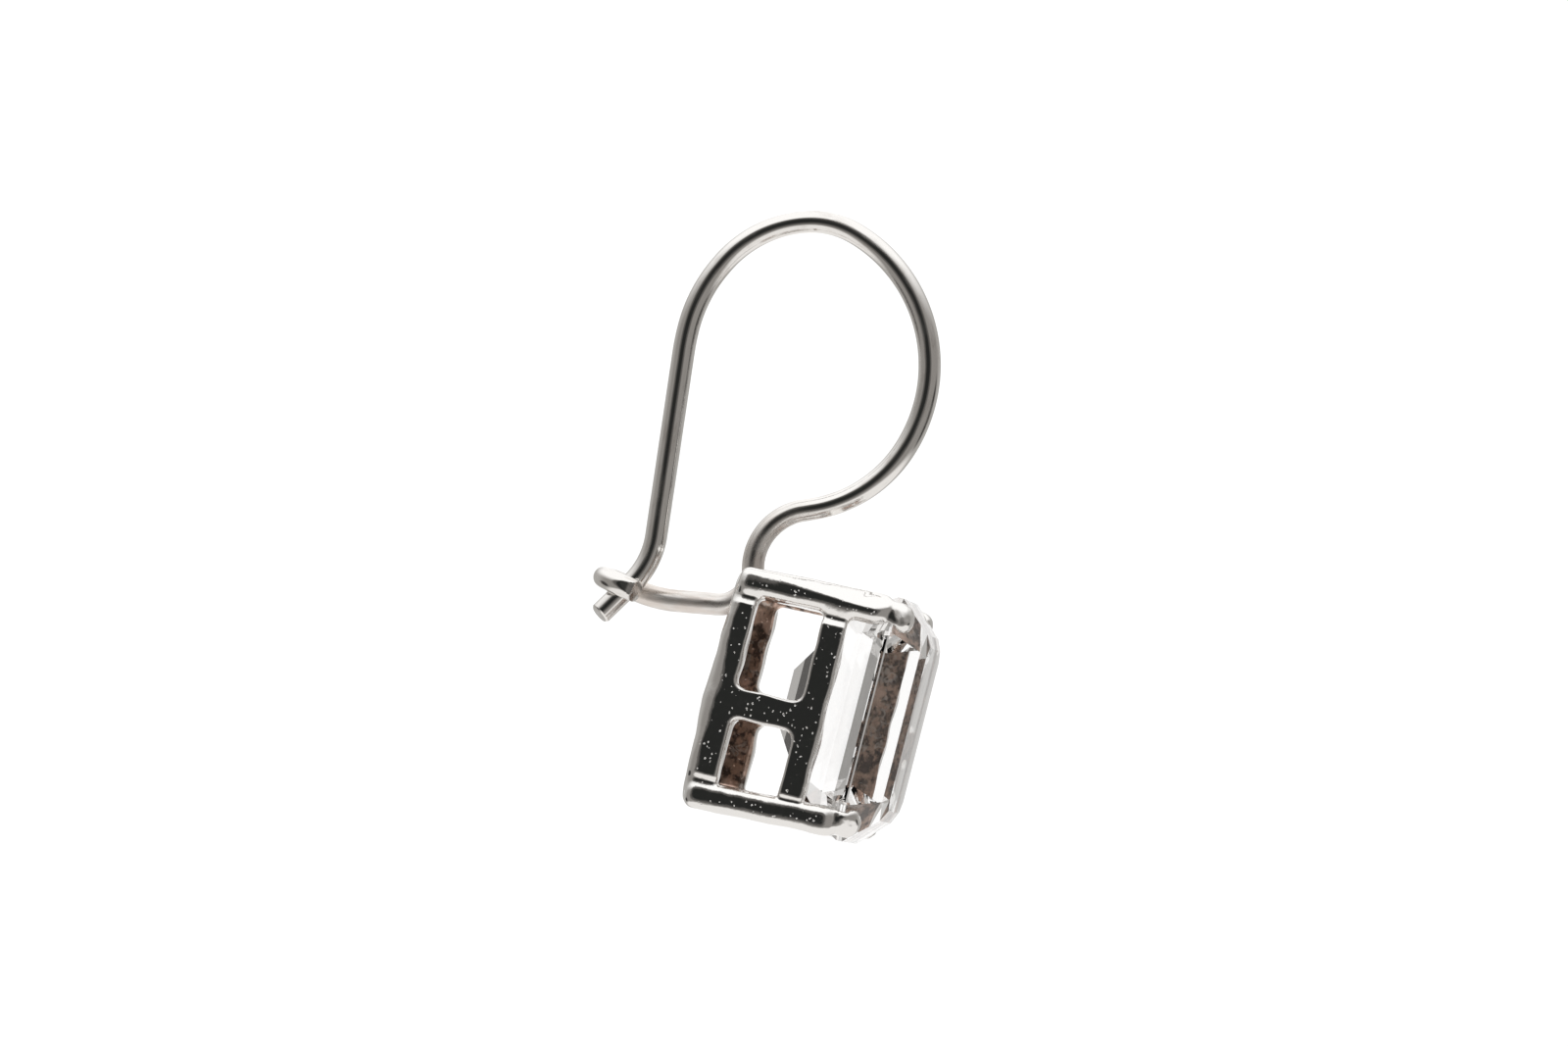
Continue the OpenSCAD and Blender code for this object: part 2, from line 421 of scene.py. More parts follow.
def soft_noise(points: Array, size: float, seed: int) -> Array:
    """Smooth noise from -1 to 1: seeded numbers on a lattice, blended with 3t^2 - 2t^3 between its points.

    Args:
        points: The places to read, one row each, in millimetres.
        size: The lattice's pitch.
        seed: The seed of its numbers.

    Returns:
        One number for each place.
    """
    side = 32
    lattice = np.random.default_rng(seed).uniform(-1.0, 1.0, (side, side, side))
    spots = points / size
    cell = np.floor(spots).astype(int)
    part = spots - cell
    part = part * part * (3.0 - 2.0 * part)
    total = np.zeros(points.shape[:-1])
    for corner in np.ndindex(2, 2, 2):
        step = np.array(corner)
        weight = np.prod(np.where(step == 1, part, 1.0 - part), axis=-1)
        i, j, k = np.moveaxis((cell + step) % side, -1, 0)
        total += weight * lattice[i, j, k]
    return total


# The ear wire


@dataclass(frozen=True)
class Line:
    """A wire's centreline, with the frame that its round section is drawn in."""

    place: Array
    side: Array
    lift: Array
    spin: Array
    along: Array

    @property
    def tail_way(self) -> Array:
        """The direction out of the line's start."""
        way = np.cross(self.side[0], self.lift[0])
        return way * np.sign(way @ (self.place[0] - self.place[1]))

    @property
    def hook_way(self) -> Array:
        """The direction out of the line's end."""
        way = self.place[-1] - self.place[-2]
        return way / np.linalg.norm(way)


@dataclass(frozen=True)
class EarWire:
    """One length of round wire, bent into the ear loop, the foot on the basket and the catch.

    The bend tables' rows are explained at bent(). The caps' rows give how far a ring stands out past the
    end, and what share of the wire's radius it has. The flat on the hook leaves flat_left of the wire's
    thickness. heating and cooling say where along the wire the heated stretch begins and ends, each by its
    start and its run. The noise rows give a depth, a size, how far it is drawn out, and a seed.
    """

    diameter: float = 0.82
    tail_bends: Bends = ((0, 0, 49.5, 4.3), (0.15, 0, 26.5, 5.45), (0, 0, 5.5, 9.5), (6.7, 180, 38, 3.0))
    tail_run: float = 1.7
    loop_bends: Bends = ((0, 0, 31.5, 3.15), (0, 0, 92.5, 5.6), (0, 0, 47.5, 4.8), (0.4, 180, 81.5, 2.15))
    arm_bends: Bends = ((0, 191.5, 95.5, 1.25), (1.5, 0, 18, 5.5), (0, 274, 192, 0.92))
    hook_run: float = 0.6
    foot_span: Pair = (16.0, 22.5)
    chamfer: float = 0.08
    tail_cap: Steps = ((0.028, 0.93), (0.06, 0.875), (0.08, 0.8), (0.0816, 0.4))
    hook_cap: Steps = ((0.015, 0.965), (0.022, 0.88), (0.024, 0.4))
    flat_left: float = 0.73
    flat_slope: float = 5.0
    flat_roll: float = 6.0
    end_zone: float = 2.0
    hook_cut: float = 20.0
    tail_cut: float = 15.0
    tail_pivot: float = 0.2
    tail_side: Spot = (-1.0, 0.0, 0.0)
    cut_length: float = 0.45
    skin: float = 0.003
    noise: tuple = ((0.001, 0.55, 0.7, 3), (0.0005, 0.21, 0.5, 4))
    heating: Pair = (14.4, 3.6)
    cooling: Pair = (23.5, 1.5)
    sharp_angle: float = 24.0
    sides: int = 64
    step: float = 0.045

    def bent(self, start: Array, bends: Bends, end_run: float) -> Line:
        """Follows a bend table: straight on, then round a circle that lies towards the frame's -X.

        Each row is run, roll, turn and radius. On the circle the point is centre + radius * side, where side
        turns from the frame's X towards its heading Y. A roll turns the frame about its heading, and spin
        keeps the sum of the rolls, so that the section's seam runs on without a twist.

        Args:
            start: The frame at the start, its X, heading and Z in columns.
            bends: The table's rows.
            end_run: The straight length after the last row.

        Returns:
            The centreline, starting at the origin.
        """
        axes, place, spin, along = start, np.zeros(3), 0.0, 0.0
        parts: list[tuple] = []
        for run, roll, turn, radius in bends + ((end_run, 0, 0, 1.0),):
            if run > 0:
                steps = np.linspace(0.0, run, max(2, round(run / self.step)) + 1)
                side = np.repeat(axes[None, :, 0], len(steps), axis=0)
                lift = np.repeat(axes[None, :, 2], len(steps), axis=0)
                points = place + steps[:, None] * axes[:, 1]
                parts.append((points, side, lift, np.full(len(steps), spin), along + steps))
                place, along = points[-1], along + run
            axes = axes @ turned("Y", roll)
            spin += math.radians(roll)
            if turn > 0:
                arc = math.radians(turn)
                steps = np.linspace(0.0, arc, max(4, round(arc * radius / self.step)) + 1)
                side = np.cos(steps)[:, None] * axes[:, 0] + np.sin(steps)[:, None] * axes[:, 1]
                lift = np.repeat(axes[None, :, 2], len(steps), axis=0)
                points = place + radius * (side - axes[:, 0])
                parts.append((points, side, lift, np.full(len(steps), spin), along + radius * steps))
                place, along = points[-1], along + radius * arc
                axes = axes @ turned("Z", turn)
        whole = [np.concatenate([part[column] for part in parts]) for column in range(5)]
        kept = np.append(True, np.diff(whole[4]) > 1e-6)
        return Line(*(column[kept] for column in whole))

    def loop(self) -> Line:
        """The line from the crown round the ear loop and over the foot to the end of the hook."""
        start = turned("Y", -90) @ turned("X", 180)
        return self.bent(start, self.loop_bends + self.arm_bends, self.hook_run)

    def centreline(self) -> Line:
        """Joins the tail's line, turned round, to the loop's.

        Returns:
            The whole wire's line, from the free tail over the crown to the end of the hook.
        """
        tail = self.bent(turned("Y", -90), self.tail_bends, self.tail_run - self.chamfer)
        loop = self.loop()
        signs = {"place": 1, "side": 1, "lift": -1, "spin": -1, "along": -1}
        return Line(*(
            np.concatenate([sign * getattr(tail, name)[:0:-1], getattr(loop, name)])
            for name, sign in signs.items()))

    def foot(self) -> Array:
        """The points of the centreline round the foot, where the wire lies in the basket's end bar."""
        line = self.loop()
        return line.place[(line.along > self.foot_span[0]) & (line.along < self.foot_span[1])]

    def tube(self, line: Line) -> tuple[Array, Array, Array]:
        """Draws the round section along the line.

        A point is line + r * (cos(a + spin) * side + sin(a + spin) * lift). The radius r wavers by about a
        thousandth of a millimetre.

        Args:
            line: The centreline.

        Returns:
            The rings of points, their directions from the line, and their places on the straight wire.
        """
        radius = self.diameter / 2
        angle = np.arange(self.sides) * (2 * math.pi / self.sides)
        turn = angle[None, :] + line.spin[:, None]
        out = np.cos(turn)[..., None] * line.side[:, None] + np.sin(turn)[..., None] * line.lift[:, None]
        along = np.stack(np.broadcast_arrays(
            radius * np.cos(angle)[None, :], radius * np.sin(angle)[None, :], line.along[:, None]), axis=-1)
        waver = sum(depth * soft_noise(along * (1.0, 1.0, squeeze), size, seed)
                    for depth, size, squeeze, seed in self.noise)
        reach = radius - self.skin + waver
        return line.place[:, None] + reach[..., None] * out, out, along

    def cap(self, middle: Array, way: Array, out: Array, steps: Steps) -> Array:
        """The rings that close an end, from its middle, the way out of it and its ring's directions."""
        return np.stack([middle + way * rise + out * self.diameter / 2 * share for rise, share in steps])

    def cut(self, rings: Array, along: Array, line: Line) -> Array:
        """Files the hook's flat and slants both ends.

        Each point of the hook that stands outside the filed plane is moved back onto it. A slant is a shear
        along the wire that grows evenly up to the end's tip.

        Args:
            rings: The wire's points.
            along: How far along the wire they lie.
            line: The centreline.

        Returns:
            The points after the cuts.
        """
        radius, across, heading = self.diameter / 2, line.side[-1], line.hook_way
        at_hook = along > line.along[-1] - self.end_zone
        at_tail = along < line.along[0] + self.end_zone
        slope, roll = math.radians(self.flat_slope), math.radians(self.flat_roll)
        face = across * math.cos(slope) * math.cos(roll)
        face += heading * math.sin(slope) + line.lift[-1] * math.sin(roll)
        excess = (rings - line.place[-1]) @ face - (self.flat_left - radius)
        rings = rings - np.where(at_hook & (excess > 0), excess, 0.0)[..., None] * face
        inner = line.place[-1] - radius * across
        tail_side = np.array(self.tail_side)
        pivot = line.place[0] - self.tail_pivot * tail_side
        for tip, way, side, angle, near in (
            (inner, heading, across, self.hook_cut, at_hook),
            (pivot, line.tail_way, tail_side, self.tail_cut, at_tail),
        ):
            forward, aside = (rings - tip) @ way, (rings - tip) @ side
            share = np.clip(forward / self.cut_length + 1.0, 0.0, 1.2) * near
            rings = rings - (share * aside * math.tan(math.radians(angle)))[..., None] * way
        return rings

    def build(self, finish: DrawnSilver) -> Piece:
        """Draws the tube, closes and cuts its ends, and marks its length and its heated stretch.

        At the tail the radius shrinks over a chamfer to a faintly domed cut face.

        Args:
            finish: The wire's finish.

        Returns:
            The wire's piece.
        """
        line = self.centreline()
        rings, out, along = self.tube(line)
        tail = self.cap(line.place[0], line.tail_way, out[0], self.tail_cap)[::-1]
        hook = self.cap(line.place[-1], line.hook_way, out[-1], self.hook_cap)
        rings = np.concatenate([tail, rings, hook])
        along = np.concatenate([
            np.repeat(along[:1], len(tail), axis=0), along, np.repeat(along[-1:], len(hook), axis=0)])
        rings = self.cut(rings, along[..., 2], line)
        faces = tube_faces(len(rings), self.sides)
        piece = make_piece("ear_wire_drawn", in_order(rings), faces, finish.material())
        piece.data.set_sharp_from_angle(angle=math.radians(self.sharp_angle))
        along = in_order(along)
        mark_points(piece, Mark.ALONG, along * MM)
        heat = ramped(along[:, 2], *self.heating) - ramped(along[:, 2], *self.cooling)
        mark_points(piece, Mark.HEATED, heat)
        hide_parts("ear_wire")
        return piece


# The stone and the basket, in the basket's own frame: X across, Y along and Z out of the stone's table


@dataclass(frozen=True)
class Stone:
    """The octagonal step-cut stone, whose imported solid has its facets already.

    Each step of the crown and the pavilion gives its rise and how far it draws in, from the girdle on.
    """

    length: float = 9.0
    width: float = 7.0
    corner_cut: float = 1.3
    girdle: float = 0.2
    crown: Steps = ((1.1, 1.05), (0.2, 0.42))
    pavilion: Steps = ((0.35, 0.2), (0.5, 0.42), (1.15, 1.13), (1.3, 1.68))

    def field(self, points: Array) -> Array:
        """How far each point lies outside the stone: the largest of its distances to the facets' planes.

        Args:
            points: Places in the basket's frame, in millimetres.

        Returns:
            The distances, negative inside.
        """
        x, y, z = np.abs(points[..., 0]), np.abs(points[..., 1]), points[..., 2]
        corner = (self.length + self.width) / 2 - self.corner_cut
        reaches = ((x, self.width / 2), (y, self.length / 2), ((x + y) / math.sqrt(2), corner / math.sqrt(2)))
        half = self.girdle / 2
        bottom = half + sum(rise for rise, _ in self.pavilion)
        top = half + sum(rise for rise, _ in self.crown)
        far = np.maximum(z - top, -bottom - z)
        for reach, limit in reaches:
            far = np.maximum(far, reach - limit)
            for steps, up in ((self.crown, 1), (self.pavilion, -1)):
                level, inset = half, 0.0
                for rise, step in steps:
                    size = math.hypot(rise, step)
                    plane = ((reach - limit + inset) * rise + (up * z - level) * step) / size
                    far = np.maximum(far, plane)
                    level, inset = level + rise, inset + step
        return far

    def dress(self, finish: ClearStone) -> None:
        """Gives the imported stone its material.

        Args:
            finish: The stone's finish.
        """
        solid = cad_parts["stone"]
        solid.data.materials.clear()
        solid.data.materials.append(finish.material())


def cut_cells(values: Array) -> tuple[Array, Array]:
    """Gives each cell of a grid that a field's zero surface cuts one point.

    The point is the mean of the surface's crossings on the cell's edges.

    Args:
        values: The field on the grid.

    Returns:
        The points, in steps of the grid, and each cell's point number, or -1.
    """
    shape = np.array(values.shape) - 1
    corners = list(np.ndindex(2, 2, 2))
    at = {corner: values[tuple(slice(c, c + n) for c, n in zip(corner, shape))] for corner in corners}
    inside = sum((corner < 0).astype(np.int8) for corner in at.values())
    cut = (inside > 0) & (inside < len(corners))
    number = np.full(shape, -1)
    number[cut] = np.arange(cut.sum())
    spots = np.argwhere(cut).astype(float)
    total, crossings = np.zeros_like(spots), np.zeros(len(spots))
    for first in corners:
        for axis in (axis for axis in range(3) if not first[axis]):
            second = tuple(1 if k == axis else first[k] for k in range(3))
            a, b = at[first][cut], at[second][cut]
            crossed = (a < 0) != (b < 0)
            spot = spots + first
            spot[:, axis] += np.where(crossed, a / np.where(crossed, a - b, 1.0), 0.0)
            total += np.where(crossed[:, None], spot, 0.0)
            crossings += crossed
    return total / crossings[:, None], number


def crossed_edges(values: Array, number: Array) -> Array:
    """Gives each edge of a grid that a field's zero surface crosses a face, from the four cells round it.

    Args:
        values: The field on the grid.
        number: Each cell's point number.

    Returns:
        The faces' corners, so that the faces look to where the field grows.
    """
    unit = np.eye(3, dtype=int)
    faces = []
    for axis in range(3):
        b, c, first = unit[axis - 2], unit[axis - 1], 1 - unit[axis]
        spans = (values < 0) != (np.roll(values, -1, axis=axis) < 0)
        inner = tuple(slice(low, high) for low, high in zip(first, number.shape))
        edges = np.argwhere(spans[inner]) + first
        outward = values[tuple(edges.T)] < 0
        around = [number[tuple((edges - i * b - j * c).T)] for i, j in ((0, 0), (1, 0), (1, 1), (0, 1))]
        quad = np.stack(around, axis=-1)
        faces.append(np.where(outward[:, None], quad, quad[:, ::-1]))
    return np.concatenate(faces)


def rounded_box(radius: float, *excesses: Array) -> Array:
    """Distance to a box with rounded edges, from how far a point lies past each face of its core."""
    outside = np.sqrt(sum(np.maximum(excess, 0.0) ** 2 for excess in excesses))
    return outside + np.minimum(np.maximum.reduce(excesses), 0.0) - radius


def melted(a: Array, b: Array, radius: float) -> Array:
    """Joins two fields with a fillet: the smaller less h^2 * radius / 4, with h = 1 - |a - b| / radius."""
    h = np.maximum(radius - np.abs(a - b), 0.0) / radius
    return np.minimum(a, b) - h * h * radius / 4


@dataclass(frozen=True)
class PostStyle:
    """How the two posts at one end of the basket are finished: each starts as a prong and ends as a claw.

    rolls says how far its flats are turned at its foot, elbow and tip, in degrees, and swell how much
    thicker it is at the elbow. fillet is the size of the fillet that joins it to the rails. start, run and
    fall say where the slope before it lies. filed gives the height of the edge of its filed facet above
    its middle, at the foot and at the elbow. claw gives its claw's width, and the level of its middle.
    """

    end: End
    rolls: tuple[float, float, float]
    swell: float
    fillet: float
    start: float
    run: float
    fall: float
    filed: Pair
    claw: Pair


@dataclass(frozen=True)
class Basket:
    """The cast basket: two rails, two side bars and four prongs, melted together with fillets.

    tilt, drop and reach place it in the earring. shift is how far its base sits lower along its length
    than its claws. The sill rows say how much wider the base rail is on the near and the far side, each
    above and below the bars. claw_facet is the direction of the claws' filed faces, and claw_left the share
    of the claw's radius that is left under them. The flaws' rows give a place and a radius, and the waves'
    rows a depth, a size and a seed. Names that end in _ramp give a start and a run.
    """

    stone: Stone
    wire: EarWire
    posts: tuple[PostStyle, PostStyle] = (
        PostStyle(
            end=End.LOWER, rolls=(3.0, 3.0, 3.0), swell=0.0, fillet=0.12, start=3.36, run=0.2, fall=0.1,
            filed=(0.8, 0.8), claw=(1.3, 0.07)),
        PostStyle(
            end=End.UPPER, rolls=(12.0, 3.0, 3.0), swell=0.13, fillet=0.3, start=2.9, run=0.32, fall=0.15,
            filed=(0.42, -0.04), claw=(1.22, 0.2)),
    )
    tilt: float = 14.5
    drop: float = 18.15
    reach: float = 2.4
    length: float = 9.0
    width: float = 7.1
    depth: float = 5.9
    rail: float = 1.0
    rail_height: float = 1.0
    upper_depth: float = 1.45
    corner: float = 0.7
    shift: float = 0.22
    edge: float = 0.16
    back_edge: float = 0.5
    uneven: float = 0.045
    uneven_size: float = 0.75
    uneven_seed: int = 21
    worn: float = 0.04
    bar: float = 1.2
    bar_offset: float = 0.6
    window_corner: float = 0.42
    sill: tuple = ((0.09, 0.26), (0.0, 0.42))
    side_ramp: Pair = (2.2, 0.5)
    below_run: float = 0.5
    face_ramp: Pair = (2.7, 0.3)
    bulge: float = 0.13
    bulge_run: float = 1.3
    prong: float = 1.18
    prong_out: float = 0.03
    thinned: float = 0.05
    foot_rise: float = 0.1
    neck: float = 1.0
    squareness: float = 2.7
    tip_lean: float = 0.2
    file_angle: float = 48.0
    file_round: float = 0.1
    elbow: float = -0.7
    elbow_round: float = 0.2
    claw_facet: Spot = (0.72, 0.56, 0.41)
    claw_left: float = 0.78
    claw_round: float = 0.12
    claw_fillet: float = 0.16
    shrink: float = 0.045
    broad_waves: tuple = (0.019, 0.85, 11)
    waves: tuple = (0.007, 0.34, 12)
    claw_waves: tuple = (0.016, 0.19, 14)
    inner_waves: tuple = (0.09, 1.4, 13)
    claw_roughness: float = 0.024
    rough_run: float = 0.6
    inner_ramp: Pair = (0.1, 0.35)
    flaws: tuple = ((-3.62, -0.05, -5.72, 0.17), (-3.6, -1.25, -5.25, 0.16), (-3.58, -1.0, -5.32, 0.1))
    solder: float = 0.06
    solder_fillet: float = 0.4
    seat_gap: float = 0.03
    groove_gap: float = 0.012
    recess_ramp: Pair = (0.14, 0.3)
    behind_ramp: Pair = (0.6, 0.8)
    flat_ramp: Pair = (0.9, 0.08)
    pitch: float = 0.062
    room_below: Spot = (0.2, 0.45, 0.2)
    room_above: Spot = (0.2, 0.35, 0.2)
    probe: float = 0.012
    settlings: int = 4
    settling: float = 0.9

    def to_world(self, points: Array) -> Array:
        """Takes places from the basket's frame to the earring's."""
        return points @ turned("X", 90 + self.tilt).T - (0.0, self.reach, self.drop)

    def from_world(self, points: Array) -> Array:
        """Takes places from the earring's frame to the basket's."""
        return (points + (0.0, self.reach, self.drop)) @ turned("X", 90 + self.tilt)

    def lean(self, level: float) -> float:
        """How far the basket has shifted down its length at a level."""
        return -self.shift * (self.elbow - level) / (self.elbow - self.foot_level)

    @property
    def foot_level(self) -> float:
        """The level of the middle of the prongs' rounded feet."""
        return -self.depth + self.foot_rise + self.prong / 2

    def path(self, x: Array, y: Array) -> Array:
        """Distance to the rails' rectangular path with round corners, in plan, negative inside it."""
        core = zip((x, y), (self.width, self.length))
        return rounded_box(self.corner, *(abs(p) - (size - self.rail) / 2 + self.corner for p, size in core))

    def wall(self, x: Array, y: Array, z: Array) -> Array:
        """Distance to the wall that the rails and the side bars make, with its windows.

        The wall runs round the path. In it the rails are level strips and the bars upright ones, melted
        into each other in the wall's own plane, so that its faces stay flat and its windows get round
        corners. The base rail is wider below the bars and bulges back between the windows. The face falls
        back in a short slope before each post. The edges are rounded, the outer back edge more than the
        others, and a soft noise makes the windows' outlines and the back edge's rounding uneven.

        Args:
            x: Places across the basket.
            y: Places along it.
            z: Places out of the stone's table.

        Returns:
            The distances.
        """
        half, thick = self.rail_height / 2, self.rail / 2
        base, upper = half - self.depth, -self.upper_depth - half
        out = self.path(x, y - self.lean(z))
        uneven = soft_noise(np.stack([x, y, z], axis=-1), self.uneven_size, self.uneven_seed)
        below = ramped(-y, self.bar_offset, self.below_run)
        near_sill, far_sill = (a + (b - a) * below for a, b in self.sill)
        sill = np.where(x < 0, near_sill, far_sill) * ramped(np.abs(x), *self.side_ramp)
        bulge = self.bulge * np.exp(-((y + self.bar_offset) / self.bulge_run) ** 2)
        back = base - half - bulge
        base_strip = np.maximum(back - z, z - base - half - sill)
        strips = np.minimum(base_strip, np.abs(z - upper) - half)
        middle = np.abs(z - (base + upper) / 2) - (upper - base) / 2
        bars = np.maximum(np.abs(y + self.bar_offset) - self.bar / 2, middle)
        plane = melted(strips, bars, self.window_corner) + self.uneven * uneven
        slopes = sum(post.fall * ramped(y * post.end.value, post.start, post.run) for post in self.posts)
        worn = self.worn + slopes * ramped(np.abs(x), *self.face_ramp)
        face = np.maximum(out + worn, -out)
        wall = rounded_box(self.edge, face - (thick - self.edge), plane + self.edge)
        turn = self.back_edge + 2 * bulge + 3 * self.uneven * uneven
        return np.maximum(wall, rounded_box(turn, out + worn - thick + turn, back - z + turn))

    def strut(self, points: Array, low: Spot, high: Spot, widths: Pair, rolls: tuple[float, ...]) -> Array:
        """Distance to a squarish round bar between two points, less its half width.

        The distance is (|a|^n + |b|^n + |c|^n)^(1/n), where a, b and c are the parts of the way from the
        nearest point of the line between the ends. With n at 2 the bar is round.

        Args:
            points: The places.
            low: One end of the bar's line.
            high: The other end.
            widths: The bar's width at each end.
            rolls: How far its flats are turned about Z at each end, in degrees.

        Returns:
            The distances.
        """
        start, path = np.array(low), np.subtract(high, low)
        share = np.clip((points - start) @ path / (path @ path), 0.0, 1.0)
        away = points - start - share[..., None] * path
        roll = np.radians(rolls[0] + share * (rolls[1] - rolls[0]))
        across = away[..., 0] * np.cos(roll) + away[..., 1] * np.sin(roll)
        along = away[..., 1] * np.cos(roll) - away[..., 0] * np.sin(roll)
        total = sum(np.abs(part) ** self.squareness for part in (across, along, away[..., 2]))
        return total ** (1 / self.squareness) - (widths[0] + share * (widths[1] - widths[0])) / 2

    def to_foot(self, points: Array) -> Array:
        """How far places lie from the line of the wire's foot, worked out only where that is near.

        Args:
            points: Places in the basket's frame.

        Returns:
            The distances, and a large number for the places that are far away.
        """
        line, near_by, far_away, batch = self.from_world(self.wire.foot()), 1.5, 9.0, 8
        far = np.full(points.shape[:-1], far_away)
        near = np.all((points > line.min(axis=0) - near_by) & (points < line.max(axis=0) + near_by), axis=-1)
        spots = points[near]
        best = np.full(len(spots), far_away ** 2)
        for start in range(0, len(line), batch):
            gaps = spots[:, None] - line[None, start:start + batch]
            best = np.minimum(best, np.einsum("ijk,ijk->ij", gaps, gaps).min(axis=1))
        far[near] = np.sqrt(best)
        return far

    def post(self, points: Array, style: PostStyle) -> Array:
        """How far each point lies outside one of the two like prongs at an end, with its claw.

        The prong is a shaft from the foot to the elbow and a neck from there to the claw's ball, joined
        with fillets. A filed facet takes off the shaft's outer corner, and a filed face one side of the
        ball. A cut is the joint of the two outsides, so it is written with melted() and turned signs.

        Args:
            points: Places in the basket's frame, with X counted outwards from the middle.
            style: The end's finish.

        Returns:
            The distances, negative inside.
        """
        end, (claw_width, claw_level) = style.end.value, style.claw
        y, z = points[..., 1], points[..., 2]
        out_x = (self.width - self.prong) / 2 + self.prong_out
        out_y = (self.length - self.prong) / 2 + self.prong_out
        girth = self.prong - self.thinned
        foot = (out_x, end * out_y + self.lean(self.foot_level), self.foot_level)
        elbow = (out_x - style.swell / 2, end * (out_y - style.swell / 4), self.elbow)
        tip = (out_x - self.tip_lean, end * (out_y - self.tip_lean), claw_level)
        shaft = self.strut(points, foot, elbow, (girth, girth + style.swell), style.rolls[:2])
        share = ramped(z, self.foot_level, self.elbow - self.foot_level)
        edge = style.filed[0] + share * (style.filed[1] - style.filed[0])
        rise = (y - self.lean(z)) * end - out_y - edge
        angle = math.radians(self.file_angle)
        filed = (points[..., 0] - out_x - girth / 2) * math.cos(angle) + rise * math.sin(angle)
        shaft = -melted(-shaft, -filed, self.file_round)
        neck = self.strut(points, elbow, tip, (self.neck, self.neck), style.rolls[1:])
        away = points - np.array(tip)
        claw = np.linalg.norm(away, axis=-1) - claw_width / 2
        face = away @ (np.array(self.claw_facet) * (1, end, 1)) - self.claw_left * claw_width / 2
        claw = -melted(-claw, -face, self.claw_round)
        return melted(melted(shaft, neck, self.elbow_round), claw, self.claw_fillet)

    def field(self, points: Array) -> Array:
        """How far each point lies outside the cast metal, in millimetres, negative inside.

        The rails, bars and prongs are melted into one, with the waves that casting and hand polishing leave,
        which are stronger on the prongs' tips and on the inner side, and with a few round flaws. A fillet of
        solder is added round the wire's foot. The stone's seat and the wire's own round are then taken out.

        Args:
            points: Places in the basket's frame.

        Returns:
            The distances.
        """
        x, y, z = points[..., 0], points[..., 1], points[..., 2]
        metal = self.wall(x, y, z)
        sided = np.stack([np.abs(x), y, z], axis=-1)
        for style in self.posts:
            metal = melted(metal, self.post(sided, style), style.fillet)
        rough = ramped(z, self.elbow, self.rough_run)
        inner = ramped(-self.path(x, y), *self.inner_ramp)
        shares = (1, 1 + rough * self.claw_roughness / self.waves[0], rough, inner)
        rows = (self.broad_waves, self.waves, self.claw_waves, self.inner_waves)
        for share, (depth, size, seed) in zip(shares, rows):
            metal = metal + depth * share * soft_noise(points, size, seed)
        metal = metal + self.shrink
        for *middle, radius in self.flaws:
            metal = np.maximum(metal, radius - np.linalg.norm(points - np.array(middle), axis=-1))
        foot = self.to_foot(points)
        radius = self.wire.diameter / 2
        metal = melted(metal, foot - radius + self.solder, self.solder_fillet)
        metal = np.maximum(metal, self.seat_gap - self.stone.field(points))
        return np.maximum(metal, radius - self.groove_gap - foot)

    def slope(self, points: Array) -> Array:
        """The field's unit slope, from its change over a small step to either side along each axis.

        Args:
            points: Places in the basket's frame.

        Returns:
            The slopes.
        """
        steps = np.eye(3) * self.probe
        rise = np.stack([self.field(points + step) - self.field(points - step) for step in steps], axis=-1)
        return rise / np.maximum(np.linalg.norm(rise, axis=-1, keepdims=True), 1e-9)

    def net(self) -> tuple[Array, Array]:
        """Spans a net of four-sided faces over the field's zero surface.

        The field is worked out on a grid, and the net is drawn through the cells that the surface cuts. A
        few steps down the field's slope then lay every point on the surface.

        Returns:
            The points and the faces' corners.
        """
        front = max(style.claw[1] + style.claw[0] / 2 for style in self.posts)
        low = np.array((-self.width / 2, -self.length / 2, -self.depth)) - self.room_below
        high = np.array((self.width / 2, self.length / 2, front)) + self.room_above
        axes = [np.arange(a, b, self.pitch) for a, b in zip(low, high)]
        values = self.field(np.stack(np.meshgrid(*axes, indexing="ij"), axis=-1))
        spots, number = cut_cells(values)
        points = low + self.pitch * spots
        for _ in range(self.settlings):
            points -= self.field(points)[:, None] * self.slope(points) * self.settling
        return points, crossed_edges(values, number)

    def build(self, finish: CastSilver) -> Piece:
        """Casts the basket, and marks its tarnished inner side and its flat, pitted outer faces.

        Args:
            finish: The basket's finish.

        Returns:
            The basket's piece.
        """
        points, faces = self.net()
        slope = self.slope(points)
        depth = -self.path(points[:, 0], points[:, 1] - self.lean(points[:, 2]))
        recess = ramped(depth, *self.recess_ramp) * ramped(-points[:, 2], *self.behind_ramp)
        flat = ramped(np.abs(slope[:, :2]).max(axis=1), *self.flat_ramp)
        piece = make_piece("basket_cast", self.to_world(points), [faces], finish.material())
        mark_points(piece, Mark.RECESS, recess)
        mark_points(piece, Mark.FLAT, flat)
        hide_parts("setting")
        return piece


# The studio


